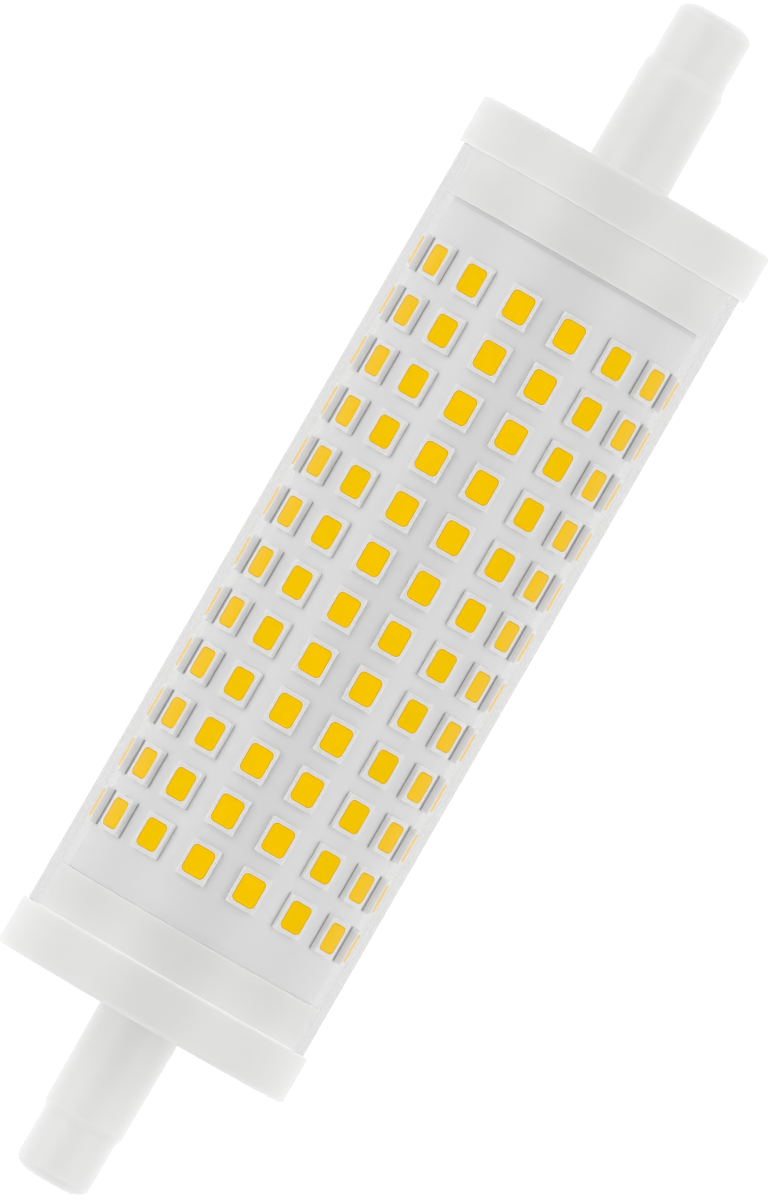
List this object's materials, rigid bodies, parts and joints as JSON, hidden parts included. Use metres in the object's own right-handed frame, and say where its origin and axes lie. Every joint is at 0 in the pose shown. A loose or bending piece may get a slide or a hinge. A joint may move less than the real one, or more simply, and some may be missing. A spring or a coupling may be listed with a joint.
{
  "type": "linear led bulb",
  "caption": "Double-ended linear LED lamp: clear tube over a white cylindrical board of yellow LEDs, white moulded end caps and slim stepped contact stubs.",
  "frame": {"origin": "middle of the lamp, on its axis", "axes": "+X along the lamp's axis, +Z to the middle of its front, away from the board's seam"},
  "size_m": [0.118, 0.0288, 0.0288],
  "materials": {
    "cap_plastic": "satin white moulding",
    "clear_cover": "clear, polished",
    "board_mask": "white solder mask, satin",
    "led_housing": "white moulded",
    "phosphor": "yellow silicone, smooth",
    "contact_plating": "nickel plated",
    "core_metal": "drawn tube",
    "insulating_card": "thin folded card",
    "circuit_board": "green solder mask",
    "black_moulding": "moulded",
    "fuse_body": "fired, unglazed",
    "varistor_body": "moulded",
    "film_case": "moulded",
    "capacitor_sleeve": "shrunk sleeve",
    "ferrite": "ground",
    "copper_winding": "enamelled wire",
    "lead_sleeve": "insulated wire",
    "link_metal": "tinned strip"
  },
  "bodies": {
    "root": {"end_caps": "cap_plastic", "contact_left": "contact_plating", "contact_right": "contact_plating", "cover_tube": "clear_cover", "core_tube": "core_metal", "led_board": "board_mask", "led_packages": "led_housing", "led_phosphors": "phosphor", "insulating_card": "insulating_card", "driver_board": "circuit_board", "input_fuse": "fuse_body", "varistor": "varistor_body", "bridge_rectifier": "black_moulding", "film_capacitor": "film_case", "reservoir_capacitor": "capacitor_sleeve", "choke_core": "ferrite", "choke_winding": "copper_winding", "driver_chip": "black_moulding", "freewheel_diode": "black_moulding", "sense_resistors": "black_moulding", "mains_lead_left": "lead_sleeve", "mains_lead_right": "lead_sleeve", "led_link_positive": "link_metal", "led_link_negative": "link_metal"}
  },
  "joints": []
}
